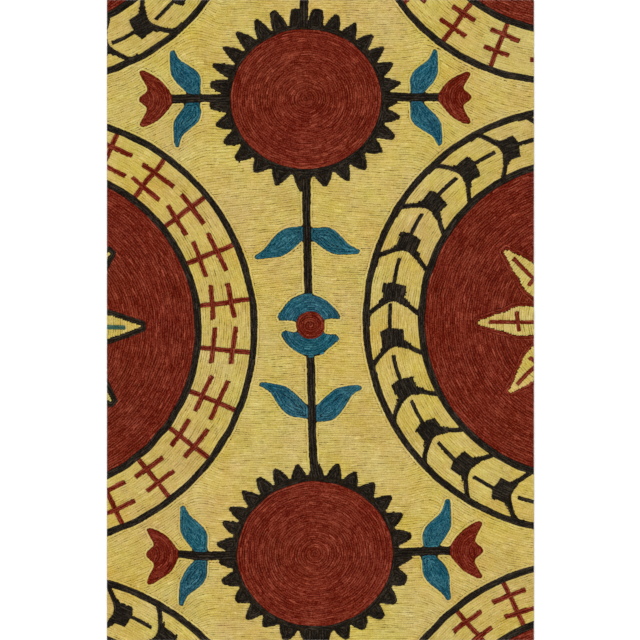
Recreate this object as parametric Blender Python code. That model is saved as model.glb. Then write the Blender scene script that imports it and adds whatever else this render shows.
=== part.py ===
"""A cut length of a chain-stitched suzani rug, lying flat.

One solid: the cloth and its stitching together.  The underside is the flat plane
Z = 0.  The upper face swells very slightly, as a hand-stitched ground does, and it
rounds over at the cut edges, which run a little wavy.  X is across the rug and Y is
along it.
"""
import math

import bmesh
import bpy

NAME = "rug"

# Driving sizes, metres.
WIDTH = 0.600
LENGTH = 0.900
THICKNESS = 0.004

# Hand-made unevenness, metres.
EDGE_WAVE = 0.0007
EDGE_WAVE_PITCH = 0.150
SWELL = 0.00015
SWELL_PITCH = 0.120

# Mesh resolution and the rounding of the upper rim.
CELLS_ACROSS = 24
CELLS_ALONG = 36
RIM_RADIUS = 0.0012
RIM_SEGMENTS = 2

WOOL_YELLOW = (0.60, 0.44, 0.12, 1.0)
WOOL_ROUGHNESS = 0.85


def clear_scene():
    """Remove every object that is in the scene."""
    for item in list(bpy.data.objects):
        bpy.data.objects.remove(item, do_unlink=True)


def make_collection(name):
    """A collection for the finished parts."""
    group = bpy.data.collections.new(name)
    bpy.context.scene.collection.children.link(group)
    return group


def wool_material():
    """Dyed wool, the ground colour of the stitching."""
    material = bpy.data.materials.new("wool_stitching")
    material.use_nodes = True
    shader = material.node_tree.nodes["Principled BSDF"]
    shader.inputs["Base Color"].default_value = WOOL_YELLOW
    shader.inputs["Roughness"].default_value = WOOL_ROUGHNESS
    shader.inputs["Metallic"].default_value = 0.0
    return material


def edge_draw_in(along, phase):
    """How far a cut edge draws in at a place along it, never negative."""
    turn = 2.0 * math.pi * along / EDGE_WAVE_PITCH
    wave = 0.6 * math.sin(turn + phase) + 0.4 * math.sin(0.43 * turn + 2.0 * phase)
    return EDGE_WAVE * 0.5 * (1.0 - wave)


def wavy_place(x, y):
    """Draw the four cut edges in and out, fading away towards the middle."""
    side = x / (WIDTH / 2)
    end = y / (LENGTH / 2)
    new_x = x - side * edge_draw_in(y, 1.0 + math.copysign(0.7, side))
    new_y = y - end * edge_draw_in(x, 2.5 + math.copysign(0.7, end))
    return new_x, new_y


def surface_height(x, y):
    """Height of the upper face, swelling gently over the stitched ground."""
    across = math.sin(2.0 * math.pi * x / SWELL_PITCH + 0.8 * math.sin(9.0 * y))
    along = math.sin(2.0 * math.pi * y / (1.3 * SWELL_PITCH) + 1.1)
    return THICKNESS - SWELL * (1.0 - across * along)


def rug_mesh():
    """A flat grid drawn up into a slab with a swelling face and a rounded rim."""
    bm = bmesh.new()
    bmesh.ops.create_grid(bm, x_segments=CELLS_ACROSS, y_segments=CELLS_ALONG, size=0.5)
    for vertex in bm.verts:
        vertex.co.x, vertex.co.y = wavy_place(vertex.co.x * WIDTH, vertex.co.y * LENGTH)
        vertex.co.z = 0.0

    lower = list(bm.faces)
    raised = bmesh.ops.extrude_face_region(bm, geom=lower, use_keep_orig=True)
    upper_verts = [item for item in raised["geom"] if isinstance(item, bmesh.types.BMVert)]
    upper_faces = [item for item in raised["geom"] if isinstance(item, bmesh.types.BMFace)]
    for vertex in upper_verts:
        vertex.co.z = surface_height(vertex.co.x, vertex.co.y)
    upper_set = set(upper_faces)

    # The underside is one plane, so its cells join into one face.
    bmesh.ops.dissolve_faces(bm, faces=lower)

    rim = [
        edge
        for edge in bm.edges
        if sum(face in upper_set for face in edge.link_faces) == 1
    ]
    bmesh.ops.bevel(
        bm, geom=rim, offset=RIM_RADIUS, segments=RIM_SEGMENTS, profile=0.5, affect="EDGES"
    )
    bmesh.ops.recalc_face_normals(bm, faces=bm.faces)

    mesh = bpy.data.meshes.new(NAME)
    bm.to_mesh(mesh)
    bm.free()
    return mesh


def build():
    """Make the rug."""
    clear_scene()
    parts = make_collection("suzani_rug")
    rug = bpy.data.objects.new(NAME, rug_mesh())
    rug.data.materials.append(wool_material())
    rug.data.shade_smooth()
    rug.data.set_sharp_from_angle(angle=math.radians(40))
    parts.objects.link(rug)


build()
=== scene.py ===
"""The looks of a cut length of a chain-stitched suzani rug.

The cloth is built the way the real one is: a woven canvas, and on it rows of wool
chain stitch, each stitch a loop of two strands.  The design is laid out in
millimetres on the rug's face (X across, Y along, origin at the middle).  Every motif
is a shape with a distance map and its own way of laying rows; a shape further down
the list covers those before it, and the yellow ground fills what is left.

Most numbers in the design's tables were fitted to the photo by other programs and
rounded, and not chosen by hand; they shouldn't have been fitted.
"""
import math

import bpy
import numpy as np
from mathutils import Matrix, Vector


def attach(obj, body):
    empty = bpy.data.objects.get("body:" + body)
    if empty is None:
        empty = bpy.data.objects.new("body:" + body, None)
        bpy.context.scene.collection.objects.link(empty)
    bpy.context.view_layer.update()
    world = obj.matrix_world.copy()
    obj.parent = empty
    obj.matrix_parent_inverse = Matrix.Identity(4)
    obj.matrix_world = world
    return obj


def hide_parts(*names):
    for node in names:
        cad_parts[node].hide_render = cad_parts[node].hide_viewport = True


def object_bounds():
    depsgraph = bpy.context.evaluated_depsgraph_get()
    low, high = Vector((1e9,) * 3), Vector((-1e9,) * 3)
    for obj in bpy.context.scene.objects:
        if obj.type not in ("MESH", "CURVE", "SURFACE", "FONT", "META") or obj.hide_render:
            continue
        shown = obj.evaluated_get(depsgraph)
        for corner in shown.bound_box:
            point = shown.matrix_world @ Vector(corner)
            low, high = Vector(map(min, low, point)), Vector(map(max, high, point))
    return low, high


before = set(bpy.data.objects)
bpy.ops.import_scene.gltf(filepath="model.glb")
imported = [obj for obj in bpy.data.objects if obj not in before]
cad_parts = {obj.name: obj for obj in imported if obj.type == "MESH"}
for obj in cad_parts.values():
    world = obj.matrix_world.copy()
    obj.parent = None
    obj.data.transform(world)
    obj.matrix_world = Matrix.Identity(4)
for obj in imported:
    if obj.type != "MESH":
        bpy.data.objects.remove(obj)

CAD_LOW, CAD_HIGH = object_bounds()

# ------------ sizes, millimetres
MM = 0.001
WIDTH = (CAD_HIGH[0] - CAD_LOW[0]) / MM
LENGTH = (CAD_HIGH[1] - CAD_LOW[1]) / MM
THICKNESS = (CAD_HIGH[2] - CAD_LOW[2]) / MM

ROW = 3.2              # from one row of chain stitch to the next
STITCH = 4.7           # length of one loop
SHORTEST_ROW = 2.0     # a row shorter than this isn't stitched
TUCK = 0.1             # rows end this far inside the outline of their shape
UNDER = 1.1            # how far rows run on under a shape that covers theirs
ROW_ENDS = 0.6         # how much longer or shorter a row may end
SWAY = 0.22            # how far a row of stitches strays sideways
CANVAS_TOP = 1.5       # height of the canvas face
SUNK = 1.3             # height of stitches that run on under others
PROUD = 0.4            # how far a stitch may stand above the solid
PAST = 1.5             # rows run on this far past the cut edges of the cloth
CUT = 0.15             # and are cut off this far inside its box

CELL = 1.0             # spacing of the distance maps
MARGIN = 14            # how far a shape's map runs on past its box
FAR = 40.0             # distances past this aren't needed
HAND = 0.5             # how far the drawn outlines wander
HAND_SIZE = 45.0       # length of those waves
FRAY = 0.5             # how ragged outlines are where rows end against them
FRAY_SIZE = 5.0        # length of those waves


def wander(x, y, size, seed):
    """Smooth unevenness between about -1 and 1, in waves about `size` long."""
    rng = np.random.default_rng(seed)
    total = 0.0
    for _ in range(5):
        turn = rng.uniform(0, 2 * math.pi)
        wave = 2 * math.pi / (size * rng.uniform(0.7, 1.6))
        across = x * math.cos(turn) + y * math.sin(turn)
        total = total + np.sin(wave * across + rng.uniform(0, 2 * math.pi))
    return total / 2.6


def hand(x, y):
    """Where the hand-drawn design puts a point of the ruled one, as an offset."""
    return HAND * wander(x, y, HAND_SIZE, 11), HAND * wander(x, y, HAND_SIZE, 12)


GRID_X = np.arange(-WIDTH / 2 - 3, WIDTH / 2 + 3 + CELL, CELL)
GRID_Y = np.arange(-LENGTH / 2 - 3, LENGTH / 2 + 3 + CELL, CELL)
FLAT_X, FLAT_Y = np.meshgrid(GRID_X, GRID_Y)
OFFSET_X, OFFSET_Y = hand(FLAT_X, FLAT_Y)
MAP_X = FLAT_X + OFFSET_X
MAP_Y = FLAT_Y + OFFSET_Y


# ------------ distances to shapes
def to_ellipse(x, y, cx, cy, rx, ry):
    """Distance to an upright ellipse, negative inside."""
    dx, dy = x - cx, y - cy
    reach = np.hypot(dx / rx, dy / ry) + 1e-9
    return np.hypot(dx, dy) * (1 - 1 / reach)


def to_band(x, y, cx, cy, inner, outer):
    """Distance to a ring between two radii, negative inside."""
    r = np.hypot(x - cx, y - cy)
    return np.maximum(inner - r, r - outer)


def to_line(x, y, points):
    """Distance to a line through points."""
    best = np.full(x.shape, 1e9)
    for (ax, ay), (bx, by) in zip(points[:-1], points[1:]):
        ux, uy = bx - ax, by - ay
        along = np.clip(((x - ax) * ux + (y - ay) * uy) / (ux * ux + uy * uy), 0, 1)
        best = np.minimum(best, np.hypot(x - ax - along * ux, y - ay - along * uy))
    return best


def to_strip(x, y, points, width):
    """Distance to a strip of that width along a line, with square ends."""
    side = to_line(x, y, points) - width / 2
    (ax, ay), (bx, by) = points[0], points[1]
    (cx, cy), (dx, dy) = points[-2], points[-1]
    first = ((ax - x) * (bx - ax) + (ay - y) * (by - ay)) / math.hypot(bx - ax, by - ay)
    last = ((x - dx) * (dx - cx) + (y - dy) * (dy - cy)) / math.hypot(dx - cx, dy - cy)
    return np.maximum(side, np.maximum(first, last))


def to_outline(x, y, points):
    """Distance to a closed outline, negative inside."""
    ring = list(points) + [points[0]]
    inside = np.zeros(x.shape, bool)
    for (ax, ay), (bx, by) in zip(ring[:-1], ring[1:]):
        if ay != by:
            crosses = (ay > y) != (by > y)
            inside ^= crosses & (x < (bx - ax) * (y - ay) / (by - ay) + ax)
    return to_line(x, y, ring) * np.where(inside, -1.0, 1.0)


def smooth(points, closed=False, steps=6):
    """A curve through points (Catmull-Rom)."""
    p = np.asarray(points, float)
    if closed:
        p = np.vstack([p[-1], p, p[0], p[1]])
    else:
        p = np.vstack([2 * p[0] - p[1], p, 2 * p[-1] - p[-2]])
    t = np.linspace(0, 1, steps, endpoint=False)[:, None]
    runs = []
    for a, b, c, d in zip(p[:-3], p[1:-2], p[2:-1], p[3:]):
        runs.append(
            0.5 * (2 * b + (c - a) * t + (2 * a - 5 * b + 4 * c - d) * t**2
                   + (3 * b - a - 3 * c + d) * t**3)
        )
    if not closed:
        runs.append(p[-2:-1])
    return np.vstack(runs)


def two_sided(one, other, steps):
    """A closed outline from its two sides, both given from the same end."""
    return np.vstack([smooth(one, steps=steps), smooth(other[::-1], steps=steps)])


def turned(points, x, y, degrees):
    """Points turned and then moved to x, y."""
    c, s = math.cos(math.radians(degrees)), math.sin(math.radians(degrees))
    p = np.asarray(points, float)
    return np.column_stack([x + c * p[:, 0] - s * p[:, 1], y + s * p[:, 0] + c * p[:, 1]])


# ------------ rows of stitches
def measure(grid, window, points):
    """Values of a windowed map at points, by bilinear interpolation."""
    rows, columns = window
    u = np.clip((points[:, 0] - GRID_X[columns.start]) / CELL, 0, grid.shape[1] - 1.001)
    v = np.clip((points[:, 1] - GRID_Y[rows.start]) / CELL, 0, grid.shape[0] - 1.001)
    i, j = u.astype(int), v.astype(int)
    u, v = u - i, v - j
    low = grid[j, i] * (1 - u) + grid[j, i + 1] * u
    high = grid[j + 1, i] * (1 - u) + grid[j + 1, i + 1] * u
    return low * (1 - v) + high * v


def arc_length(line):
    """Length along a line at each of its points."""
    return np.concatenate([[0], np.cumsum(np.hypot(*np.diff(line, axis=0).T))])


def resample(line, step):
    """The line with points about `step` apart."""
    s = arc_length(line)
    count = max(2, int(math.ceil(s[-1] / step)) + 1)
    t = np.linspace(0, s[-1], count)
    return np.column_stack([np.interp(t, s, line[:, 0]), np.interp(t, s, line[:, 1])])


def clipped(lines, clip, window):
    """The stretches of drawn lines that lie inside, by the clip map."""
    kept = []
    for line in lines:
        line = resample(np.asarray(line, float), 0.8)
        line = line - np.column_stack(hand(line[:, 0], line[:, 1]))
        inside = measure(clip, window, line) > 0
        on_grid = np.abs(line[:, 0]) < WIDTH / 2 + PAST
        on_grid &= np.abs(line[:, 1]) < LENGTH / 2 + PAST
        steps = np.diff(np.concatenate([[0], (inside & on_grid).astype(int), [0]]))
        for start, stop in zip(np.flatnonzero(steps > 0), np.flatnonzero(steps < 0)):
            if stop - start > 1:
                kept.append(line[start:stop])
    return kept


def chained(first, second, places):
    """Lines made of segments that share numbered points."""
    ends = np.concatenate([first, second])
    others = np.concatenate([second, first])
    order = np.argsort(ends, kind="stable")
    ends, others = ends[order], others[order]
    names, starts, counts = np.unique(ends, return_index=True, return_counts=True)
    number = {int(name): k for k, name in enumerate(names)}
    near = [others[s:s + c].tolist() for s, c in zip(starts, counts)]
    names = names.tolist()
    used = [False] * len(names)
    order = [k for k, c in enumerate(counts) if c == 1]
    order += [k for k, c in enumerate(counts) if c > 1]
    lines = []
    for k in order:
        if used[k]:
            continue
        used[k] = True
        walk = [names[k]]
        here = k
        while True:
            step = next((n for n in near[here] if not used[number[n]]), None)
            if step is None:
                break
            here = number[step]
            used[here] = True
            walk.append(step)
        if len(walk) > 2 and walk[0] in near[here] and counts[k] > 1:
            walk.append(walk[0])
        lines.append(places[walk])
    return lines


def level_rows(field, clip, window, pitch):
    """Lines where field = (whole number + 0.5) * pitch and clip is above zero.

    Each square cell of the map is split along its diagonal, and a level crosses a
    triangle in one straight segment.
    """
    rows, columns = window
    high, wide = field.shape
    level = field / pitch - 0.5
    whole = np.floor(level)
    x = np.broadcast_to(GRID_X[columns], field.shape)
    y = np.broadcast_to(GRID_Y[rows][:, None], field.shape)
    cut, mark, px, py = [], [], [], []
    for down, right in ((0, 1), (1, 0), (1, 1)):
        a = (slice(0, high - down), slice(0, wide - right))
        b = (slice(down, high), slice(right, wide))
        gap = level[b] - level[a]
        top = np.maximum(whole[a], whole[b])
        t = np.clip((top - level[a]) / np.where(gap == 0, 1, gap), 0, 1)
        inside = clip[a] + t * (clip[b] - clip[a]) > 0
        crosses = (np.abs(whole[b] - whole[a]) == 1) & inside
        values = (crosses, top, x[a] + t * (x[b] - x[a]), y[a] + t * (y[b] - y[a]))
        for kept, value in zip((cut, mark, px, py), values):
            full = np.zeros(field.shape, value.dtype)
            full[a] = value
            kept.append(full.ravel())
    cut, mark, px, py = (np.concatenate(kept) for kept in (cut, mark, px, py))
    cell = np.arange(high * wide).reshape(high, wide)[:-1, :-1]
    up, slant = high * wide, 2 * high * wide
    triangles = (
        (cell, cell + 1 + up, cell + slant),
        (cell + slant, cell + wide, cell + up),
    )
    first, second = [], []
    for ids in triangles:
        for p, q in ((0, 1), (1, 2), (0, 2)):
            r = 3 - p - q
            both = cut[ids[p]] & cut[ids[q]] & ~cut[ids[r]]
            both &= mark[ids[p]] == mark[ids[q]]
            first.append(ids[p][both])
            second.append(ids[q][both])
    first, second = np.concatenate(first), np.concatenate(second)
    if len(first) == 0:
        return []
    return chained(first, second, np.column_stack([px, py]))


# ------------ the design
def window_of(low_x, high_x, low_y, high_y):
    """The part of the maps round a box, as row and column slices."""
    i0 = max(0, int((low_x - MARGIN - GRID_X[0]) / CELL))
    i1 = min(len(GRID_X), int((high_x + MARGIN - GRID_X[0]) / CELL) + 2)
    j0 = max(0, int((low_y - MARGIN - GRID_Y[0]) / CELL))
    j1 = min(len(GRID_Y), int((high_y + MARGIN - GRID_Y[0]) / CELL) + 2)
    return slice(j0, max(j1, j0)), slice(i0, max(i1, i0))


DESIGN = []


def add(piece, box, distance, fill, echoed=True):
    """Put a shape on the design, over those before it.

    distance(x, y) is its distance map, and fill(shape, depth, clip) gives its rows.
    One row of the ground follows the outline of an echoed shape.
    """
    window = window_of(*box)
    x, y = MAP_X[window], MAP_Y[window]
    if x.size == 0 or min(x.shape) < 3:
        return
    DESIGN.append({
        "piece": piece, "window": window, "x": x, "y": y,
        "distance": distance(x, y) + FRAY * wander(x, y, FRAY_SIZE, 13),
        "fill": fill, "echoed": echoed,
    })


def rows_along(field, pitch=ROW):
    """Rows along the levels of field(x, y)."""
    def fill(shape, depth, clip):
        return level_rows(field(shape["x"], shape["y"]), clip, shape["window"], pitch)
    return fill


def rows_framed(field):
    """One row round the outline and the rest along the levels of field(x, y)."""
    def fill(shape, depth, clip):
        rim = np.minimum(clip, 0.9 * ROW - depth)
        inside = np.minimum(clip, depth - 0.8 * ROW)
        rows = level_rows(depth, rim, shape["window"], ROW)
        levels = field(shape["x"], shape["y"])
        return rows + level_rows(levels, inside, shape["window"], ROW)
    return fill


def rows_inwards(half_width=ROW, spines=()):
    """Rows that follow the outline, one inside the other.

    Given half the width of the shape, the pitch is fitted so that the last rows meet in
    the middle; left out, it stays ROW.  Spines are rows along the middle, to fill it up.
    """
    pitch = half_width / max(1, round(half_width / ROW))

    def fill(shape, depth, clip):
        rows = level_rows(depth, clip, shape["window"], pitch)
        return rows + clipped(spines, depth - 0.5 * pitch, shape["window"])
    return fill


def rows_drawn(lines):
    """Rows along given lines."""
    def fill(shape, depth, clip):
        return clipped(lines, clip, shape["window"])
    return fill


def beside(line, offset):
    """A line moved sideways."""
    line = np.asarray(line, float)
    ahead = np.gradient(line, axis=0)
    ahead /= np.linalg.norm(ahead, axis=1)[:, None]
    return line + offset * np.column_stack([-ahead[:, 1], ahead[:, 0]])


def box_of(points, grow=0.0):
    """low x, high x, low y, high y of points."""
    p = np.asarray(points, float)
    (x0, y0), (x1, y1) = p.min(axis=0) - grow, p.max(axis=0) + grow
    return x0, x1, y0, y1


def strip(piece, points, rows, width):
    """A line of stitching a few rows wide."""
    line = np.asarray(points, float)
    if len(line) > 2:
        line = smooth(line)
    else:
        line = resample(line, 3.0)
    offsets = [((k + 0.5) / rows - 0.5) * width for k in range(rows)]
    lines = [beside(line, offset) for offset in offsets]
    route = [tuple(p) for p in line[::2]] + ([tuple(line[-1])] if len(line) % 2 == 0 else [])
    add(piece, box_of(line, width), lambda x, y: to_strip(x, y, route, width), rows_drawn(lines))


def add_outline(piece, points, fill, echoed=True):
    """Put a closed outline on the design."""
    outline = [tuple(p) for p in points]
    add(piece, box_of(outline), lambda x, y: to_outline(x, y, outline), fill, echoed)


def circle_box(cx, cy, r):
    """The box round a circle."""
    return cx - r, cx + r, cy - r, cy + r


def away_from(cx, cy):
    """A map of the distance from a point."""
    return lambda x, y: np.hypot(x - cx, y - cy)


def rows_round(cx, cy, rx, ry):
    """Rows that fill an ellipse: one along its rim, round a flat spiral."""
    inset = 0.75 * ROW
    turns = (max(rx, ry) - inset) / ROW
    angle = np.linspace(0.15, 2 * math.pi * turns, int(90 * turns))
    reach = angle / (2 * math.pi * turns)
    x, y = (rx - inset) * reach * np.cos(angle), (ry - inset) * reach * np.sin(angle)
    spiral = np.column_stack([cx + x, cy + y])
    angle = np.linspace(0, 2 * math.pi, 181)
    x, y = (rx - 0.5 * ROW) * np.cos(angle), (ry - 0.5 * ROW) * np.sin(angle)
    return rows_drawn([spiral, np.column_stack([cx + x, cy + y])])


SUNFLOWERS = (
    # middle and radii of the red disc, then of the black collar at the foot of its teeth
    (-20.4, 310.5, 105.5, 98, -19.5, 309, 115, 107),
    (-7.5, -328.5, 109, 101.5, -7, -328.5, 118.5, 110.5),
)
# Each tooth: its direction from the middle of the collar, how far it stands out, and
# half the width of its tip as a share of the way to the next tooth.
TEETH = (
    (
        (-1, 14, 0.08), (10.5, 19.5, 0.08), (23, 18.5, 0.08), (34, 19.5, 0.08),
        (44.5, 19.5, 0.1), (57.5, 20.5, 0.06), (70.5, 20, 0.12), (83, 22, 0.24),
        (97, 22.5, 0.2), (110.5, 26.5, 0.16), (122.5, 24.5, 0.1), (136, 26.5, 0.12),
        (147.5, 25.5, 0.08), (159.5, 27.5, 0.1), (170.5, 22.5, 0.14), (183.5, 21.5, 0.16),
        (195.5, 18, 0.1), (208, 18, 0.14), (220.5, 18.5, 0.14), (234.5, 15.5, 0.08),
        (250.5, 19.5, 0.06), (267.5, 23, 0.1), (283, 17, 0.1), (297.5, 20.5, 0.06),
        (310.5, 18, 0.08), (325.5, 18, 0.06), (337, 20, 0.14), (349.5, 19.5, 0.12),
    ),
    (
        (11, 19, 0.14), (24.5, 17.5, 0.1), (37, 18.5, 0.08), (50.5, 16, 0.08),
        (64, 17.5, 0.06), (76, 19.5, 0.1), (90, 23, 0.1), (101.5, 17.5, 0.08),
        (115.5, 20, 0.14), (127, 20.5, 0.14), (139.5, 20.5, 0.08), (152, 20, 0.12),
        (161.5, 20, 0.1), (174.5, 21, 0.12), (185, 18, 0.08), (197, 19, 0.14),
        (210.5, 13.5, 0.12), (223.5, 18.5, 0.1), (234.5, 13, 0.08), (250.5, 18, 0.12),
        (265, 17, 0.08), (276, 17, 0.08), (290, 16.5, 0.12), (303, 13.5, 0.12),
        (316.5, 17, 0.16), (329, 15, 0.12), (343.5, 16, 0.2), (358.5, 18.5, 0.1),
    ),
)


# A tooth's outline: shares of the way to the next tooth, and the height of its shoulder.
SHOULDER = 0.26
SHOULDER_REACH = 0.45
VALLEY = (0.45, 0.55)


def sunflower(x, y, rx, ry, foot_x, foot_y, foot_rx, foot_ry, teeth):
    """A red disc stitched in a spiral, in a black collar with pointed teeth."""
    def at(angle, longer):
        turn = math.radians(angle)
        c, s = math.cos(turn), math.sin(turn)
        r = math.hypot(foot_rx * c, foot_ry * s) + longer
        return foot_x + r * c, foot_y + r * s

    first = teeth[0]
    ahead = list(teeth[1:]) + [(first[0] + 360, first[1], first[2])]
    outline = []
    for (angle, reach, tip), (next_angle, next_reach, next_tip) in zip(teeth, ahead):
        gap = next_angle - angle
        down = (SHOULDER + 0.5 * tip) * gap
        up = (SHOULDER + 0.5 * next_tip) * gap
        outline.append(at(angle - tip * gap, reach - 0.6))
        outline.append(at(angle, reach + 0.3))
        outline.append(at(angle + tip * gap, reach - 0.9))
        outline.append(at(angle + down, SHOULDER_REACH * reach))
        for share in VALLEY:
            outline.append(at(angle + share * gap, 0))
        outline.append(at(next_angle - up, SHOULDER_REACH * next_reach))
    add_outline("black_stitching", outline, rows_inwards(), echoed=False)
    add("red_sunflowers", (x - rx, x + rx, y - ry, y + ry),
        lambda px, py: to_ellipse(px, py, x, y, rx, ry),
        rows_round(x, y, rx, ry), echoed=False)


# The middle line of a leaf sways to the left near the stem and to the right near the tip.
LEAVES = (
    # base x, base y, tip x, tip y, half width, sway
    (-18.5, 125, -92.5, 87.5, 14.8, -2.5),
    (-17, 122, 55, 95.5, 14.2, 2.8),
    (-12.5, -132, -85, -89.5, 13.8, 3.4),
    (-13.5, -135, 58, -94.5, 15.4, -4.2),
    (-177, 313.5, -207.5, 378.5, 15.9, -3.9),
    (-178, 315.5, -201.5, 242.5, 13.8, 4.4),
    (134, 311.5, 161.5, 380, 14.8, 3),
    (133.5, 310, 168.5, 245, 14.7, -3.9),
    (-167, -329.5, -193.5, -261, 15.4, -2.6),
    (-166, -331, -196, -401.5, 14.3, 3),
    (153.5, -330, 179.5, -252, 14.8, 3.5),
    (150, -328.5, 180.5, -393, 15.9, -1),
)
LEAF_OUTLINE = (
    # share of the length, share of the half width
    (0, 0.6), (0.12, 0.66), (0.28, 0.96), (0.44, 1.04),
    (0.6, 0.88), (0.76, 0.5), (0.9, 0.3), (0.98, 0.2), (1, 0.08),
)


def leaf(base_x, base_y, tip_x, tip_y, half, sway):
    """A pointed blue leaf, filled with rows that echo its outline."""
    length = math.hypot(tip_x - base_x, tip_y - base_y)
    heading = math.degrees(math.atan2(tip_y - base_y, tip_x - base_x))
    left, right, middles = [], [], []
    for t, share in LEAF_OUTLINE:
        middle = sway * math.sin(2 * math.pi * t)
        left.append((t * length, middle + share * half))
        right.append((t * length, middle - share * half))
        middles.append((t * length, middle))
    spine = turned(middles, base_x, base_y, heading)
    outline = turned(two_sided(left, right, 4), base_x, base_y, heading)
    add_outline("blue_stitching", outline, rows_inwards(half, [spine]))


TULIPS = (
    # x and y on the stem, direction in degrees, reach, upper spread, lower spread
    (-208, 309.5, 180, 1, 1.03, 0.97),
    (166, 313.5, 0, 0.98, 0.89, 0.96),
    (-199, -329, 180, 0.98, 0.93, 1.08),
    (182, -324.5, 0, 0.99, 1.05, 0.97),
)
TULIP_OUTLINE = (
    # reach, spread: outer edge, tip, valley and half of the middle point
    (0, 5.5), (7, 15.5), (17.6, 27), (30.4, 35.5), (40, 39.5),
    (45, 38.5), (45.5, 35), (40, 24.8), (35.9, 16.7), (36.2, 11.1), (43.5, 5.2),
    (46.8, 1.5),
)


def tulip(x, y, opens, reach, upper, lower):
    """A red flower with three points, seen from the side."""
    side = 1 if opens == 0 else -1
    top = [(x + side * reach * a, y + upper * b) for a, b in TULIP_OUTLINE]
    bottom = [(x + side * reach * a, y - lower * b) for a, b in TULIP_OUTLINE]
    mouth = x + 50 * side * reach
    add_outline("red_flowers", two_sided(top, bottom, 3),
                rows_framed(lambda px, py: np.hypot(px - mouth, 1.2 * (py - y))))


# The small flower on the stem: a red disc between two blue caps.
FLOWER = (-14, -7.5)
FLOWER_DISC = 20.0
UPPER_CAP = (
    (-58.5, 0), (-56, 12), (-43.5, 27), (-34.5, 33), (-22.5, 37.5), (-12.5, 36), (-2.5, 32.5),
    (10, 25.5), (19.5, 16.5), (26, 8), (26.5, 2), (24.5, 1.5), (8, 1), (-10, -6), (-40.5, -1.5),
)
LOWER_CAP = (
    (-54.5, -19.5), (-49.5, -15), (-36.5, -17.5), (-10, -12), (8, -19), (21, -20), (25.5, -25),
    (25, -25.5), (22.5, -31.5), (11.5, -40), (4, -47), (-12, -51.5), (-18, -51), (-21.5, -50),
    (-32, -45), (-43.5, -37.5), (-52.5, -25.5),
)


def small_flower():
    """Two blue caps in curved rows, with a notch on each side, and a red disc."""
    from_middle = away_from(*FLOWER)
    for cap in (UPPER_CAP, LOWER_CAP):
        add_outline("blue_stitching", smooth(cap, closed=True, steps=3), rows_along(from_middle))
    add("red_flowers", circle_box(*FLOWER, FLOWER_DISC),
        lambda x, y: from_middle(x, y) - FLOWER_DISC,
        rows_round(*FLOWER, FLOWER_DISC, FLOWER_DISC))


# Stems: the long upright one in three stretches, three at the foot of the lower
# sunflower, and four short ones at the sides.
STEM_WIDTH = 11.2
STEMS = (
    ((-22.5, 458.5), (-23, 438), (-22.5, 411)),
    ((-19.5, 199), (-19.5, 167), (-18.5, 97), (-16.5, 29.5)),
    ((-14.5, -45.5), (-12.5, -92.5), (-10.5, -190.5), (-4.5, -222.5)),
    *(((x, -436), (x, -446), (x, -458)) for x in (-14, -4, 7)),
    ((-127, 312.5), (-169.5, 311), (-208.5, 310.5)),
    ((90, 315), (130, 312.5), (168, 313)),
    ((-118, -330), (-159.5, -331.5), (-199.5, -329)),
    ((104, -327), (140, -325), (183, -324)),
)

# Medallions: a ring of yellow with motifs, edged in black, round a red disc.  The
# ring's outer and inner edges aren't quite about the same middle.
OUTER_EDGE = 9.0
INNER_EDGE = 9.6
MEDALLIONS = (
    # outer edge x, y, radius,  inner edge x, y, radius,  star
    ((-392.6, -14.1, 304.1), (-400, -13.5, 233.1), "outlined"),
    ((360.4, 0.8, 300.8), (365, 0.8, 227.9), "crossed"),
    ((-376, 603.5, 268.8), (-392, 619.9, 218.1), None),
    ((-382, -670, 315.9), (-382.4, -652.7, 224.3), None),
    ((331, 607.5, 276.1), (347.7, 631, 230.7), None),
    ((372, -630.5, 294.4), (375, -633.9, 224), None),
)
# The motifs of each ring, fitted to the photo by other programs.
LADDER_ROWS = {
    # ring: direction and lean of the rung in degrees, then for each of the two rails its
    # place outwards, tilt in degrees, shift along it and half length
    0: (
        (-66.2, 2.5, -18, 3, 5, 24.5, 10.5, -1, 6, 24.5),
        (-51.5, 0, -16, -2.5, 4.5, 24.5, 9, -1.5, 4.5, 24),
        (-36.5, -2, -17.5, 2.5, 3.5, 23.5, 9.5, -3.5, 6.5, 26),
        (-21.9, 0, -15.5, -4.5, 5, 28, 8.5, -3, 4, 30.5),
        (-6.2, 1, -17.5, -1.5, 5, 25.5, 10.5, 0, 8, 26.5),
        (8.1, -1, -17, -5, 2.5, 24.5, 9.5, 5, 2.5, 24.5),
        (23.4, -2, -17, -2.5, -1, 27, 10, 2.5, 0, 30),
        (38.3, -2, -16, -7.5, -3, 25, 11.5, -1, -3.5, 27),
        (53.1, -2, -15.5, -3.5, -5.5, 25.5, 10.5, 1, -7.5, 27.5),
        (67.6, -2.5, -16, -5, -10.5, 24.5, 12.5, -1, -8.5, 24.5),
    ),
    4: (
        (217.5, 12, -13, 0, 0, 24.5, 11.5, 7, -2, 24.5),
        (233.8, 0, -15, 4, 0.5, 19.5, 10, 2.5, -0.5, 22.5),
        (248.4, 0, -15.5, -1.5, 3, 22.5, 9.5, 1.5, -0.5, 19),
        (264.2, -9, -10, 9.5, 0, 24.5, 7.5, -1, 0, 24.5),
    ),
    5: (
        (98, 0, -14, 0, 0, 24.5, 12, 0, 0, 24.5),
        (113.8, 2.5, -14.5, -6.5, -4.5, 24.5, 13, -2.5, 0.5, 25),
        (128.9, 2.5, -15, 0, 2.5, 24.5, 13, -2.5, -1.5, 24.5),
    ),
}
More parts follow.
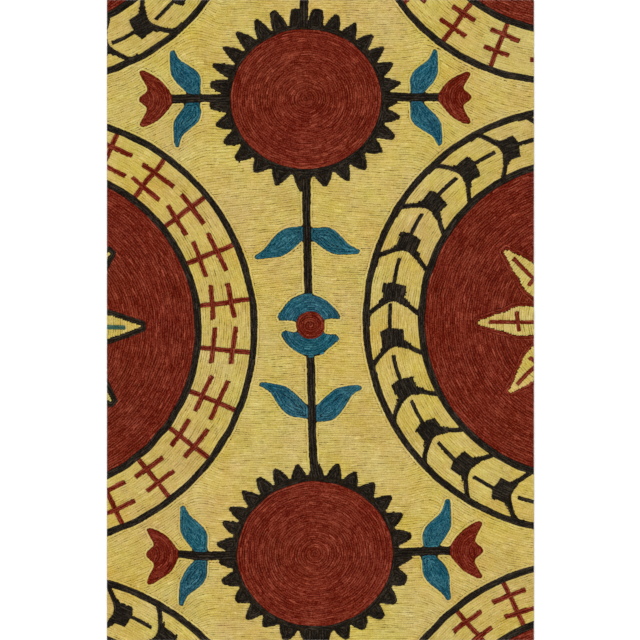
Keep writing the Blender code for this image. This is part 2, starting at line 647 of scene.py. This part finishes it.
ARROW_ROWS = {
    # ring: direction, shift outwards, turn in degrees and size
    1: (
        (96.7, -0.5, 0, 0.98), (111.7, -0.5, -4, 0.95), (126.2, 2, -3, 0.95),
        (140.7, 2, -3, 0.97), (155.3, 3, -1, 0.95), (171.1, 3, -0.5, 1.02),
        (185, 3.5, -0.5, 1.01), (200.7, 3, -0.5, 1.01), (215.5, 2, -4, 1.01),
        (230.4, 1.5, -1.5, 0.98), (245.1, 4, -1, 0.97), (260.2, 2, 0, 0.99),
    ),
    2: (
        (-71.2, 1.5, -2.5, 0.91), (-56.4, 0.5, -3, 1), (-40.7, 0.5, 1, 1.01),
    ),
    3: (
        (50.5, 1, -1.5, 1.06), (65.9, 3.5, 0.5, 0.94), (81.6, 0, 0, 1),
    ),
}
RUNG_WIDTH = 6.8
RAIL_WIDTH = 6.8


def ladder(x, y, inner, outer, angle, lean, *rails):
    """A red rung across the ring, with two short rails across it."""
    place = (x, y, angle)
    middle = (inner + outer) / 2
    slope = math.tan(math.radians(lean))
    half = (outer - inner) / 2 + 4
    ends = [(middle - half, -slope * half), (middle + half, slope * half)]
    strip("red_ring_motifs", turned(ends, *place), 2, RUNG_WIDTH)
    for out, tilt, shift, half_length in (rails[:4], rails[4:]):
        c, s = math.cos(math.radians(tilt)), math.sin(math.radians(tilt))
        bar = [(middle + out - s * v, shift + slope * out + c * v)
               for v in (-half_length, half_length)]
        strip("red_ring_motifs", turned(bar, *place), 2, RAIL_WIDTH)


# An arrow, as distance outwards and distance round, from the middle of its place.
ARROW_BLOCK = (
    (16.5, -6.5), (4, -11.5), (-17, -8.5), (-17, 7), (-26.5, 13.5), (-21, 20.5),
    (2.5, 13.5), (20.5, 21), (14, 13),
)
ARROW_ARCH = (
    (32.5, 57), (32, 42), (24, 32), (17.5, 25), (9.5, 18), (1, 13.5),
    (-9, 13), (-22, 16.5), (-29.5, 21), (-42, 27.5),
)
ARROW_STEM = ((2, 8), (1, -26), (-1, -45.5))
ARCH_WIDTH = 6.7
ARROW_STEM_WIDTH = 5.2


def arrow(x, y, inner, outer, angle, out, turn, size):
    """A black arch across the ring, with a block on it and a stem that points on."""
    c, s = math.cos(math.radians(turn)), math.sin(math.radians(turn))
    middle = (inner + outer) / 2 + out

    def placed(points):
        own = [(middle + size * (c * a - s * b), size * (s * a + c * b)) for a, b in points]
        held = [min(1, (outer + 2) / math.hypot(*point)) for point in own]
        return turned([(a * h, b * h) for (a, b), h in zip(own, held)], x, y, angle)

    strip("black_stitching", placed(ARROW_ARCH), 2, ARCH_WIDTH)
    strip("black_stitching", placed(ARROW_STEM), 2, ARROW_STEM_WIDTH)
    add_outline("black_stitching", placed(ARROW_BLOCK), rows_along(away_from(x, y)))


# Stars: direction of the first petal in degrees, and how far the petals reach.
OUTLINED_STAR = (0.8, 149.0)
CROSSED_STAR = (181.8, 140.5)
PETALS = 8
STAR_PETAL = (
    # distance from the tip, half width
    (0, 2.5), (8, 5), (17, 8), (27, 12), (39, 14.5), (50, 19.5),
    (63, 21), (80, 20), (110, 16), (138, 4),
)
OUTLINED_PETAL = (
    (1.5, 1.5), (24, 9), (48, 16.5), (72, 17.5), (100, 19), (140, 4),
)
PETAL_EDGING = (
    (-5.5, 6.5), (20, 15.5), (48, 25), (72, 29), (100, 25.5), (140, 10),
)
MIDRIB_FOOT = 40       # where midribs end, from the middle of the star
MIDRIB_WIDTH = 5.2
CROSSBAR_WIDTH = 5.4


def to_petals(x, y, profile, angle, tip):
    """Distance map of petals about x, y, from half widths at distances from their tips."""
    one = [(tip - t, width) for t, width in profile]
    other = [(tip - t, -width) for t, width in profile]
    outlines = []
    for k in range(PETALS):
        petal = turned(two_sided(one, other, 4), x, y, angle + k * 360 / PETALS)
        outlines.append([tuple(p) for p in petal])

    def distance(px, py):
        best = np.full(px.shape, FAR)
        for outline in outlines:
            best = np.minimum(best, to_outline(px, py, outline))
        return best
    return distance


def outlined_star(x, y):
    """Yellow petals edged in black, each with a blue midrib."""
    angle, tip = OUTLINED_STAR
    box = circle_box(x, y, tip + 10)
    add("black_stitching", box, to_petals(x, y, PETAL_EDGING, angle, tip), rows_inwards())
    add("yellow_motifs", box, to_petals(x, y, OUTLINED_PETAL, angle, tip),
        rows_along(away_from(x, y)))
    for k in range(PETALS):
        rib = turned(((tip - 23.5, -1), (MIDRIB_FOOT, 1)), x, y, angle + k * 360 / PETALS)
        strip("teal_midribs", rib, 2, MIDRIB_WIDTH + 0.6)


def crossed_star(x, y):
    """Yellow petals echoed in red, each with a red midrib and crossbar."""
    angle, tip = CROSSED_STAR
    box = circle_box(x, y, tip + 8)
    petals = to_petals(x, y, STAR_PETAL, angle, tip)
    add("red_medallions", box, lambda px, py: petals(px, py) - 2 * ROW, rows_inwards())
    add("yellow_motifs", box, petals, rows_along(away_from(x, y)))
    for k in range(PETALS):
        turn = angle + k * 360 / PETALS
        rib = turned(((tip - 14.5, -0.5), (MIDRIB_FOOT, 3)), x, y, turn)
        strip("red_flowers", rib, 2, MIDRIB_WIDTH)
        bar = turned(((tip - 54.5, -14.5), (tip - 57.5, 14.5)), x, y, turn)
        strip("red_flowers", bar, 2, CROSSBAR_WIDTH)


def medallion(number, outer, inner, star):
    """Black-edged ring of yellow rows with motifs, round a red disc."""
    (ox, oy, outer_radius), (ix, iy, inner_radius) = outer, inner
    ring_radius = outer_radius - OUTER_EDGE
    from_outer, from_inner = away_from(ox, oy), away_from(ix, iy)

    def across(px, py):
        """Distance into the yellow ring from its inner edge, evened out to whole rows."""
        low = from_inner(px, py) - inner_radius
        high = ring_radius - from_outer(px, py)
        width = low + high
        rows = math.ceil(np.median(width[(low > 0) & (high > 0)]) / ROW)
        return rows * ROW * low / np.maximum(width, 1.0)

    def ring(piece, x, y, low, high):
        fitted = (high - low) / max(1, round((high - low) / ROW))
        add(piece, circle_box(x, y, high), lambda px, py: to_band(px, py, x, y, low, high),
            rows_along(lambda px, py: np.hypot(px - x, py - y) - low, fitted))

    add("yellow_rings", circle_box(ox, oy, ring_radius),
        lambda px, py: np.maximum(from_outer(px, py) - ring_radius,
                                  inner_radius - from_inner(px, py)),
        rows_along(across))
    for draw, rows in ((ladder, LADDER_ROWS), (arrow, ARROW_ROWS)):
        for row in rows.get(number, ()):
            turn = math.radians(row[0])
            lean = (ox - ix) * math.cos(turn) + (oy - iy) * math.sin(turn)
            draw(ix, iy, inner_radius, ring_radius + lean, *row)
    ring("black_stitching", ox, oy, ring_radius, outer_radius)
    ring("black_stitching", ix, iy, inner_radius - INNER_EDGE, inner_radius)
    ring("red_medallions", ix, iy, 0, inner_radius - INNER_EDGE)
    if star == "outlined":
        outlined_star(ix + 0.5, iy + 2.5)
    elif star == "crossed":
        crossed_star(ix - 3, iy)


def lay_out():
    """Put every motif on the design."""
    for number, row in enumerate(MEDALLIONS):
        medallion(number, *row)
    for row, teeth in zip(SUNFLOWERS, TEETH):
        sunflower(*row, teeth)
    for row in LEAVES:
        leaf(*row)
    for points in STEMS:
        strip("black_stitching", points, 3, STEM_WIDTH)
    for row in TULIPS:
        tulip(*row)
    small_flower()


# The ground's rows run level in the middle.  At the sides they bend with the
# medallion above them.
GROUND_GUIDES = (
    # middle x, middle y, height that the bent rows keep, side
    (-392, 619.9, 689.0, -1),
    (-392, -14.7, 57.0, -1),
    (353.9, 626.9, 689.0, 1),
    (357.4, -2.2, 57.5, 1),
)
BEND_FROM = 125.0
BEND_TO = 205.0
# Beside the upper stretch of the stem they slope.
GROUND_SLOPES = (
    # side, slope, sets in between x and x, comes between y and y, goes between y and y
    (-1, 0.13, -5, 25, -60, 60, 170, 270),
    (1, 0.07, -25, 5, 0, 110, 170, 250),
)
STEM_X = 18            # how far left of the middle the stem stands
GROUND_BANDS = (
    # piece, from y, to y
    ("yellow_ground_lower", -500, -120),
    ("yellow_ground_middle", -120, 150),
    ("yellow_ground_upper", 150, 500),
)


def ease(value, low, high):
    """0 below low, 1 above high, smooth between."""
    t = np.clip((value - low) / (high - low), 0, 1)
    return t * t * (3 - 2 * t)


def ground_field(x, y):
    """The height whose levels are the ground's rows."""
    field = y.copy()
    for side, slope, x0, x1, y0, y1, y2, y3 in GROUND_SLOPES:
        share = ease(side * x, x0, x1) * ease(y, y0, y1) * (1 - ease(y, y2, y3))
        field = field + slope * share * (side * (x + STEM_X))
    bent = y.copy()
    for cx, cy, height, side in GROUND_GUIDES:
        here = (x * side > 0) & ((y > 0) == (cy > 100))
        bent = np.where(here, height - np.hypot(x - cx, y - cy), bent)
    share = ease(np.abs(x + 10), BEND_FROM, BEND_TO)
    field = field * (1 - share) + bent * share
    return field + 1.0 * wander(x, y, 130, 21) + 0.3 * wander(x, y, 35, 22)


def all_rows():
    """Rows of every piece: {piece: [(lines, cover, spread, window)]}.

    Cover is the distance to the shapes that lie over these rows, and spread how far
    apart the rows are, as a share of the pitch.
    """
    lay_out()
    edge = np.minimum(WIDTH / 2 - np.abs(FLAT_X), LENGTH / 2 - np.abs(FLAT_Y)) + PAST
    covered = np.full(FLAT_X.shape, FAR)
    echoed = np.full(FLAT_X.shape, FAR)
    found = {}
    for shape in reversed(DESIGN):
        window = shape["window"]
        cover = covered[window].copy()
        depth = np.minimum(-shape["distance"], cover)
        clip = np.minimum(-shape["distance"] - TUCK, cover + UNDER)
        clip = np.minimum(clip, edge[window])
        if (clip > 0).any():
            rows = shape["fill"](shape, depth, clip)
            spread = np.ones(cover.shape)
            found.setdefault(shape["piece"], []).append((rows, cover, spread, window))
        covered[window] = np.minimum(cover, shape["distance"])
        if shape["echoed"]:
            echoed[window] = np.minimum(echoed[window], shape["distance"])

    everywhere = (slice(0, len(GRID_Y)), slice(0, len(GRID_X)))
    band = np.minimum(np.minimum(covered + UNDER, edge), ROW * 0.9 - echoed)
    echoes = level_rows(echoed, band, everywhere, ROW)
    found["yellow_echo_rows"] = [(echoes, covered, np.ones(covered.shape), everywhere)]
    cover = np.minimum(covered, echoed - ROW - 0.1)
    field = ground_field(MAP_X, MAP_Y)
    rows = level_rows(field, np.minimum(cover + UNDER, edge), everywhere, ROW)
    spread = 1 / np.clip(np.hypot(*np.gradient(field, CELL)), 0.7, 1.25)
    for name, low, high in GROUND_BANDS:
        band = [r for r in rows if low <= r[:, 1].mean() < high]
        found[name] = [(band, cover, spread, everywhere)]
    return found


# ------------ chain stitches
# One loop is two strands.  Along a strand: share of the stitch, distance from the
# middle of the row and half its width (both as shares of the pitch), and heights.
STRAND = np.array([
    # along, middle, half, inner z, ridge z, outer z
    (-0.06, 0.21, 0.25, 2.6, 3.35, 2.0),
    (0.28, 0.25, 0.28, 2.9, 3.85, 2.1),
    (0.74, 0.26, 0.275, 2.8, 3.75, 2.1),
    (1.12, 0.22, 0.25, 2.5, 3.25, 2.0),
])


def stitch_starts(total, rng):
    """Where the stitches of a row start and how long they are: uneven, by hand."""
    count = max(1, int(round(total / (STITCH * rng.uniform(0.9, 1.1)))))
    lengths = np.clip(rng.normal(1.0, 0.13, count), 0.6, 1.4)
    lengths *= total / lengths.sum()
    return np.concatenate([[0], np.cumsum(lengths)[:-1]]), lengths


def stitch_places(line, rng):
    """Where the sections of each stitch along a line lie, and which way is sideways."""
    s = arc_length(line)
    total = s[-1]
    before, after = rng.uniform(-ROW_ENDS, ROW_ENDS, 2)
    start, lengths = stitch_starts(total + before + after, rng)
    at = (start[:, None] - before) + STRAND[None, :, 0] * lengths[:, None]
    at = np.clip(at, -before, total + after)
    held = np.clip(at, 0, total)
    back, front = held - 0.9, held + 0.9
    ux = np.interp(front, s, line[:, 0]) - np.interp(back, s, line[:, 0])
    uy = np.interp(front, s, line[:, 1]) - np.interp(back, s, line[:, 1])
    size = np.hypot(ux, uy) + 1e-9
    ux, uy = ux / size, uy / size
    sway = np.zeros(at.shape)
    for _ in range(2):
        sway += 0.5 * SWAY * np.sin((at + rng.uniform(0, 200)) / rng.uniform(4.0, 14.0))
    x = np.interp(held, s, line[:, 0]) + (at - held) * ux - sway * uy
    y = np.interp(held, s, line[:, 1]) + (at - held) * uy + sway * ux
    return np.stack([x, y], axis=-1), np.stack([-uy, ux], axis=-1)


def stitched_rows(lines, rng):
    """Places, sideways directions, row ends and tones of the stitches along lines.

    The tones vary at random, and their rare bright strands are painted highlights.
    """
    places, sides, last, tones = [], [], [], []
    for line in lines:
        total = arc_length(line)[-1]
        if total < SHORTEST_ROW:
            continue
        where, sideways = stitch_places(line[::rng.choice((-1, 1))], rng)
        places.append(where)
        sides.append(sideways)
        count = len(where)
        last.append(np.isin(np.arange(count), (0, count - 1)))
        slow = np.sin((np.arange(count) + rng.uniform(0, 90)) / rng.uniform(3, 9))
        row_tone = rng.normal(0, 0.25) * min(1, 200 / total)
        # Mostly a little darker, now and then much lighter: random tone, and rare painted
        # highlights on single strands.
        tone_and_highlight_streak = rng.exponential(0.7, (count + 1, 2)) - 0.7
        tones.append(row_tone + 0.15 * slow[:, None] + tone_and_highlight_streak[:-1] + tone_and_highlight_streak[1:])
    return [np.concatenate(part) for part in (places, sides, last, tones)] if places else None


def loops(places, sides, full, loft, rng):
    """Points of the stitches: legs, sections along a leg and places across it."""
    middle, half = STRAND[:, 1] * ROW, STRAND[:, 2] * ROW
    count = len(places)
    # Now and then a stitch is pulled tight.
    full = full * (1.03 - 0.25 * rng.random((count, 1)) ** 5)
    height = rng.normal(1.0, 0.03, (count, 2, 1))
    shoulder = loft + rng.normal(0.0, 0.4, (count, 2, 1))
    points = np.empty((count, 2, 4, 3, 3))
    for leg, sign in enumerate((1, -1)):
        for across, (shift, column) in enumerate(((-1, 3), (0, 4), (1, 5))):
            offset = sign * (middle + shift * half)[None, :] * full
            points[:, leg, :, across, :2] = places + sides * offset[..., None]
            rise = STRAND[:, column][None, :] * height[:, leg]
            points[:, leg, :, across, 2] = rise + (shoulder[:, leg] if column == 5 else 0)
    return points


def store(mesh, title, values):
    """Keep a value for each vertex, for the material."""
    layer = mesh.attributes.new(title, "FLOAT", "POINT")
    layer.data.foreach_set("value", values.astype(np.float32).ravel())


def stitch_mesh(name, groups, seed, loft, fullness, shade):
    """A mesh of chain stitches along lines, tucked under the shapes that cover them.

    Loft lifts the sides of the strands: soft, full wool closes the grooves between rows.
    """
    rng = np.random.default_rng(seed)
    every, tones = [], []
    for lines, cover, spread, window in groups:
        stitches = stitched_rows(lines, rng)
        if not stitches:
            continue
        places, sides, last, shades = stitches
        tones.append(shades)
        count = len(places)
        apart = measure(spread, window, places[:, 1])[:, None]
        points = loops(places, sides, apart * fullness, loft, rng)
        # Rows end in round tips: their middle runs on further than their sides.
        tip = last[:, None] * np.array([-0.7, 0.0, 0.7]) + rng.normal(0, 0.2, (count, 1))
        below = measure(cover, window, points.reshape(-1, 3)).reshape(count, 2, 4, 3)
        sunk = np.clip((0.4 - below + tip[:, None, None, :]) / 0.8, 0, 1)
        points[..., 2] += sunk * (SUNK - points[..., 2])
        every.append(points)
    points = np.concatenate(every)
    tones = shade + np.concatenate(tones) + rng.normal(0.0, 0.4, (len(points), 2))
    points[..., 2] = np.clip(points[..., 2], 0.2, THICKNESS + PROUD)
    # The cloth is cut through the rows at its edges.
    limit = np.array([WIDTH / 2, LENGTH / 2]) - CUT
    on_cloth = (np.abs(points[..., :2]) < limit).all(axis=-1).any(axis=(1, 2, 3))
    points, tones = points[on_cloth], tones[on_cloth]
    points[..., :2] = np.clip(points[..., :2], -limit, limit)
    count = len(points)

    quads = []
    for leg in range(2):
        for section in range(3):
            for across in range(2):
                a = leg * 12 + section * 3 + across
                quad = (a, a + 1, a + 4, a + 3)
                quads.append(quad if leg == 1 else quad[::-1])
    quads = np.array(quads)
    faces = (np.arange(count)[:, None, None] * 24 + quads[None]).reshape(-1, 4)

    mesh = bpy.data.meshes.new(name)
    vertices = points.reshape(-1, 3) * MM
    mesh.vertices.add(len(vertices))
    mesh.vertices.foreach_set("co", vertices.astype(np.float32).ravel())
    mesh.loops.add(faces.size)
    mesh.loops.foreach_set("vertex_index", faces.astype(np.int32).ravel())
    mesh.polygons.add(len(faces))
    mesh.polygons.foreach_set("loop_start", np.arange(0, faces.size, 4, dtype=np.int32))
    mesh.update(calc_edges=True)
    mesh.shade_smooth()

    store(mesh, "tone", np.repeat(tones, 12))
    ply = np.empty((count, 2, 4, 3))
    ply[:] = STRAND[None, None, :, :1] * 2.0 + np.array([0.0, 0.35, 0.7])
    ply += rng.uniform(0, 1, (count, 1, 1, 1))
    store(mesh, "ply", ply)
    # Painted light: a painted highlight on each strand's ridge (1), less on its inner side
    # (0.6), painted shade at its outer edge (0).
    store(mesh, "ridge", np.tile([0.6, 1.0, 0.0], count * 8))
    planar_map(mesh, vertices, faces)
    return mesh


def planar_map(mesh, vertices, faces):
    """A map seen from straight above, for the export."""
    layer = mesh.uv_layers.new(name="OFBake")
    u = vertices[:, 0] / (WIDTH * MM) + 0.5
    v = vertices[:, 1] / (LENGTH * MM) + 0.5
    uv = np.column_stack([u, v])[faces.ravel()]
    layer.data.foreach_set("uv", np.clip(uv, 0, 1).astype(np.float32).ravel())


# ------------ materials
def linear(colour):
    """An sRGB colour given as 0-255 values, as linear RGBA."""
    values = []
    for c in colour:
        c = c / 255
        values.append(c / 12.92 if c <= 0.04045 else ((c + 0.055) / 1.055) ** 2.4)
    return (*values, 1.0)


def new_material(name, roughness, specular=0.5):
    """A material, its nodes and links, and its shader."""
    material = bpy.data.materials.new(name)
    material.use_nodes = True
    nodes, links = material.node_tree.nodes, material.node_tree.links
    shader = nodes["Principled BSDF"]
    shader.inputs["Roughness"].default_value = roughness
    shader.inputs["Specular IOR Level"].default_value = specular
    return material, nodes, links, shader


def add_node(nodes, kind, **values):
    """A node with its inputs set."""
    node = nodes.new("ShaderNode" + kind)
    for title, value in values.items():
        node.inputs[title].default_value = value
    return node


def raise_surface(nodes, links, shader, heights, strength, depth):
    """Fine bumps from a map of heights, without geometry."""
    bump = add_node(nodes, "Bump", Strength=strength, Distance=depth)
    links.new(heights, bump.inputs["Height"])
    links.new(bump.outputs["Normal"], shader.inputs["Normal"])


def wool(name, dark, middle, light, ridge_highlight_and_shade, patches, strands, flecks, dye):
    """Two-ply wool with a fine twist and fuzz.

    The ridge weight is painted light: each strand's ridge is painted lighter as a highlight
    and its edges darker as shade.  Patches, strands and flecks are how much the shade
    varies over the cloth, from strand to strand and within a strand, and dye is how much
    the richness of the colour does.
    """
    material, nodes, links, shader = new_material(name, 0.7, 0.04)
    place = add_node(nodes, "TexCoord")

    def attribute(title):
        node = add_node(nodes, "Attribute")
        node.attribute_name = title
        return node.outputs["Fac"]

    def noise(scale, detail, rough=0.5):
        node = add_node(nodes, "TexNoise", Scale=scale, Detail=detail, Roughness=rough)
        links.new(place.outputs["Object"], node.inputs["Vector"])
        return node

    def mixed(source, factor, start):
        node = add_node(nodes, "Math")
        node.operation = "MULTIPLY_ADD"
        node.inputs[1].default_value = factor
        links.new(source, node.inputs[0])
        if isinstance(start, float):
            node.inputs[2].default_value = start
        else:
            links.new(start, node.inputs[2])
        return node.outputs["Value"]

    # The ridge term paints light into the colour: a highlight along each strand's ridge and
    # shade at its edges.
    level = 0.5 - 0.6 * ridge_highlight_and_shade - 0.5 * patches - 0.5 * flecks
    for source, factor in ((attribute("tone"), strands), (attribute("ridge"), ridge_highlight_and_shade),
                           (noise(28.0, 1.0).outputs["Fac"], patches),
                           (noise(700.0, 2.0).outputs["Fac"], flecks)):
        level = mixed(source, factor, level)
    ramp = add_node(nodes, "ValToRGB")
    stops = ramp.color_ramp.elements
    stops[0].position, stops[1].position = 0.18, 0.85
    stops[0].color, stops[1].color = linear(dark), linear(light)
    stops.new(0.5).color = linear(middle)
    links.new(level, ramp.inputs["Fac"])
    dyed = add_node(nodes, "HueSaturation")
    bath = add_node(nodes, "SeparateColor")
    links.new(noise(9.0, 7.0, 0.8).outputs["Color"], bath.inputs["Color"])
    links.new(mixed(bath.outputs["Red"], dye, 1 - 0.5 * dye), dyed.inputs["Saturation"])
    turn = 0.15 * dye
    links.new(mixed(bath.outputs["Green"], turn, 0.5 - 0.5 * turn), dyed.inputs["Hue"])
    links.new(ramp.outputs["Color"], dyed.inputs["Color"])
    links.new(dyed.outputs["Color"], shader.inputs["Base Color"])

    twist = add_node(nodes, "Math")
    twist.operation = "PINGPONG"
    twist.inputs[1].default_value = 0.25
    links.new(attribute("ply"), twist.inputs[0])
    surface = mixed(twist.outputs["Value"], 2.0, noise(2200.0, 2.0).outputs["Fac"])
    raise_surface(nodes, links, shader, surface, 0.5, 0.0002)
    return material


def canvas_material(name, shade, thread):
    """Plain-woven cotton canvas."""
    material, nodes, links, shader = new_material(name, 0.95, 0.1)
    place = add_node(nodes, "TexCoord")
    shades = {"Color1": linear(shade), "Color2": linear(thread)}
    weave = add_node(nodes, "TexChecker", Scale=1000.0, **shades)
    links.new(place.outputs["Object"], weave.inputs["Vector"])
    links.new(weave.outputs["Color"], shader.inputs["Base Color"])
    raise_surface(nodes, links, shader, weave.outputs["Fac"], 0.6, 0.0003)
    return material


# ------------ the pieces
def link(obj):
    """Put an object in the scene."""
    bpy.context.scene.collection.objects.link(obj)
    return obj


def make_canvas():
    """The woven canvas under the stitches: a thin slab with a slightly wavy edge.  Its top
    is painted dark brown as the shade between the rows; its sides and underside keep the
    canvas's own colour.
    """
    across, along = 60, 90
    xs = np.linspace(-0.5, 0.5, across + 1) * WIDTH
    ys = np.linspace(-0.5, 0.5, along + 1) * LENGTH
    gx, gy = np.meshgrid(xs, ys)
    draw_in = 0.1 * (1 + wander(gx, gy, 60, 31))
    gx = gx - np.sign(gx) * draw_in * (np.abs(gx) / (WIDTH / 2)) ** 20
    gy = gy - np.sign(gy) * draw_in * (np.abs(gy) / (LENGTH / 2)) ** 20
    n = (across + 1) * (along + 1)
    flat = np.column_stack([gx.ravel(), gy.ravel(), np.zeros(n)])
    vertices = np.vstack([flat + (0, 0, CANVAS_TOP), flat]) * MM
    faces = []
    step = across + 1
    for j in range(along):
        for i in range(across):
            a = j * step + i
            faces.append((a, a + 1, a + 1 + step, a + step))
            faces.append((n + a, n + a + step, n + a + 1 + step, n + a + 1))
    rim = list(range(across))
    rim += [j * step + across for j in range(along)]
    rim += [along * step + across - i for i in range(across)]
    rim += [(along - j) * step for j in range(along)]
    for a, b in zip(rim, rim[1:] + rim[:1]):
        faces.append((n + a, n + b, b, a))
    mesh = bpy.data.meshes.new("canvas")
    mesh.from_pydata(vertices.tolist(), [], faces)
    mesh.update()
    obj = link(bpy.data.objects.new("canvas", mesh))
    # Painted shade: the top face is painted dark brown, as the gaps between rows lie in shadow.
    obj.data.materials.append(canvas_material("canvas_painted_shade", (52, 38, 20), (38, 27, 13)))
    obj.data.materials.append(canvas_material("plain_canvas", (190, 176, 148), (164, 150, 122)))
    # Top faces take the painted shade, the other faces the plain canvas colour.
    for face in obj.data.polygons:
        face.material_index = 0 if face.normal.z > 0.5 else 1
    return obj


FINISHES = {
    # wool: material slot, dark, middle and light shade,
    #     weight of the painted ridge highlight and edge shade, patches, strands, flecks, dye
    "yellow": ("yellow_wool", (152, 124, 38), (196, 173, 94), (224, 205, 136),
               0.2, 0.2, 0.045, 0.6, 0.6),
    "red": ("red_wool", (60, 2, 0), (94, 16, 1), (164, 80, 57),
            0.4, 0.12, 0.056, 0.7, 0.08),
    "black": ("black_wool", (8, 6, 3), (25, 20, 14), (64, 56, 46),
              0.4, 0.15, 0.09, 1.1, 0.4),
    "blue": ("blue_wool", (4, 42, 58), (17, 68, 82), (74, 130, 142),
             0.35, 0.15, 0.06, 0.9, 0.5),
    "teal": ("blue_wool", (24, 56, 44), (56, 90, 78), (96, 124, 104),
             0.3, 0.2, 0.06, 0.8, 0.3),
}
# How much each wool fills its rows: loft, fullness.
FILLING = {"yellow": (0.3, 1.0), "red": (0.6, 1.0), "black": (0.3, 1.0), "blue": (0.9, 1.04),
           "teal": (0.7, 1.0)}
# Pieces whose wool is a little darker than the rest of that colour.
SHADES = {"yellow_rings": -0.6, "red_flowers": -0.5}
WOOLS = {colour: wool(*row) for colour, row in FINISHES.items()}


def make_stitching():
    """One object for each piece of the stitching."""
    made = []
    for seed, (name, groups) in enumerate(sorted(all_rows().items())):
        colour = name.split("_")[0]
        shade = SHADES.get(name, 0.0)
        mesh = stitch_mesh(name, groups, seed + 100, *FILLING[colour], shade)
        obj = link(bpy.data.objects.new(name, mesh))
        obj.data.materials.append(WOOLS[colour])
        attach(obj, "root")
        made.append(obj)
    return made


canvas = make_canvas()
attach(canvas, "root")
stitching = make_stitching()
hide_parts("rug")


# ------------ stage
def softbox(name, back, sideways, strength, spread):
    """An even, soft light from far away, tipped by degrees."""
    data = bpy.data.lights.new(name, "SUN")
    data.energy = strength
    data.angle = math.radians(spread)
    lamp = link(bpy.data.objects.new(name, data))
    lamp.location = (0, 0, 2)
    lamp.rotation_euler = (math.radians(back), math.radians(sideways), 0)


CAMERA_HEIGHT = 3.0    # metres above the cloth
CAMERA_X = -0.0006     # the photo's middle is a little left of the cloth's
VIEW_SHARE = 0.9986    # how much of the cloth's length the photo shows
SENSOR = 36.0
FLOOR_HEIGHT = -0.0002


def make_stage():
    """A plain pale floor, soft light and the camera straight above."""
    bpy.ops.mesh.primitive_plane_add(size=8.0, location=(0, 0, FLOOR_HEIGHT))
    floor = bpy.context.object
    floor.name = "floor"
    material, _, _, shader = new_material("pale_floor", 0.9)
    shader.inputs["Base Color"].default_value = (0.93, 0.93, 0.93, 1)
    floor.data.materials.append(material)

    world = bpy.data.worlds.new("studio")
    bpy.context.scene.world = world
    world.use_nodes = True
    background = world.node_tree.nodes["Background"]
    background.inputs["Color"].default_value = (1, 1, 1, 1)
    background.inputs["Strength"].default_value = 0.66

    softbox("key", -25, -22, 1.5, 50)
    softbox("fill", 25, 25, 0.6, 70)

    camera_data = bpy.data.cameras.new("camera")
    camera = link(bpy.data.objects.new("camera", camera_data))
    frame_side = LENGTH * MM * VIEW_SHARE
    camera_data.sensor_width = SENSOR
    camera_data.lens = SENSOR * CAMERA_HEIGHT / frame_side
    camera.location = (CAMERA_X, 0, CAMERA_HEIGHT + THICKNESS * MM)
    bpy.context.scene.camera = camera
    bpy.context.scene.view_settings.view_transform = "Standard"


make_stage()
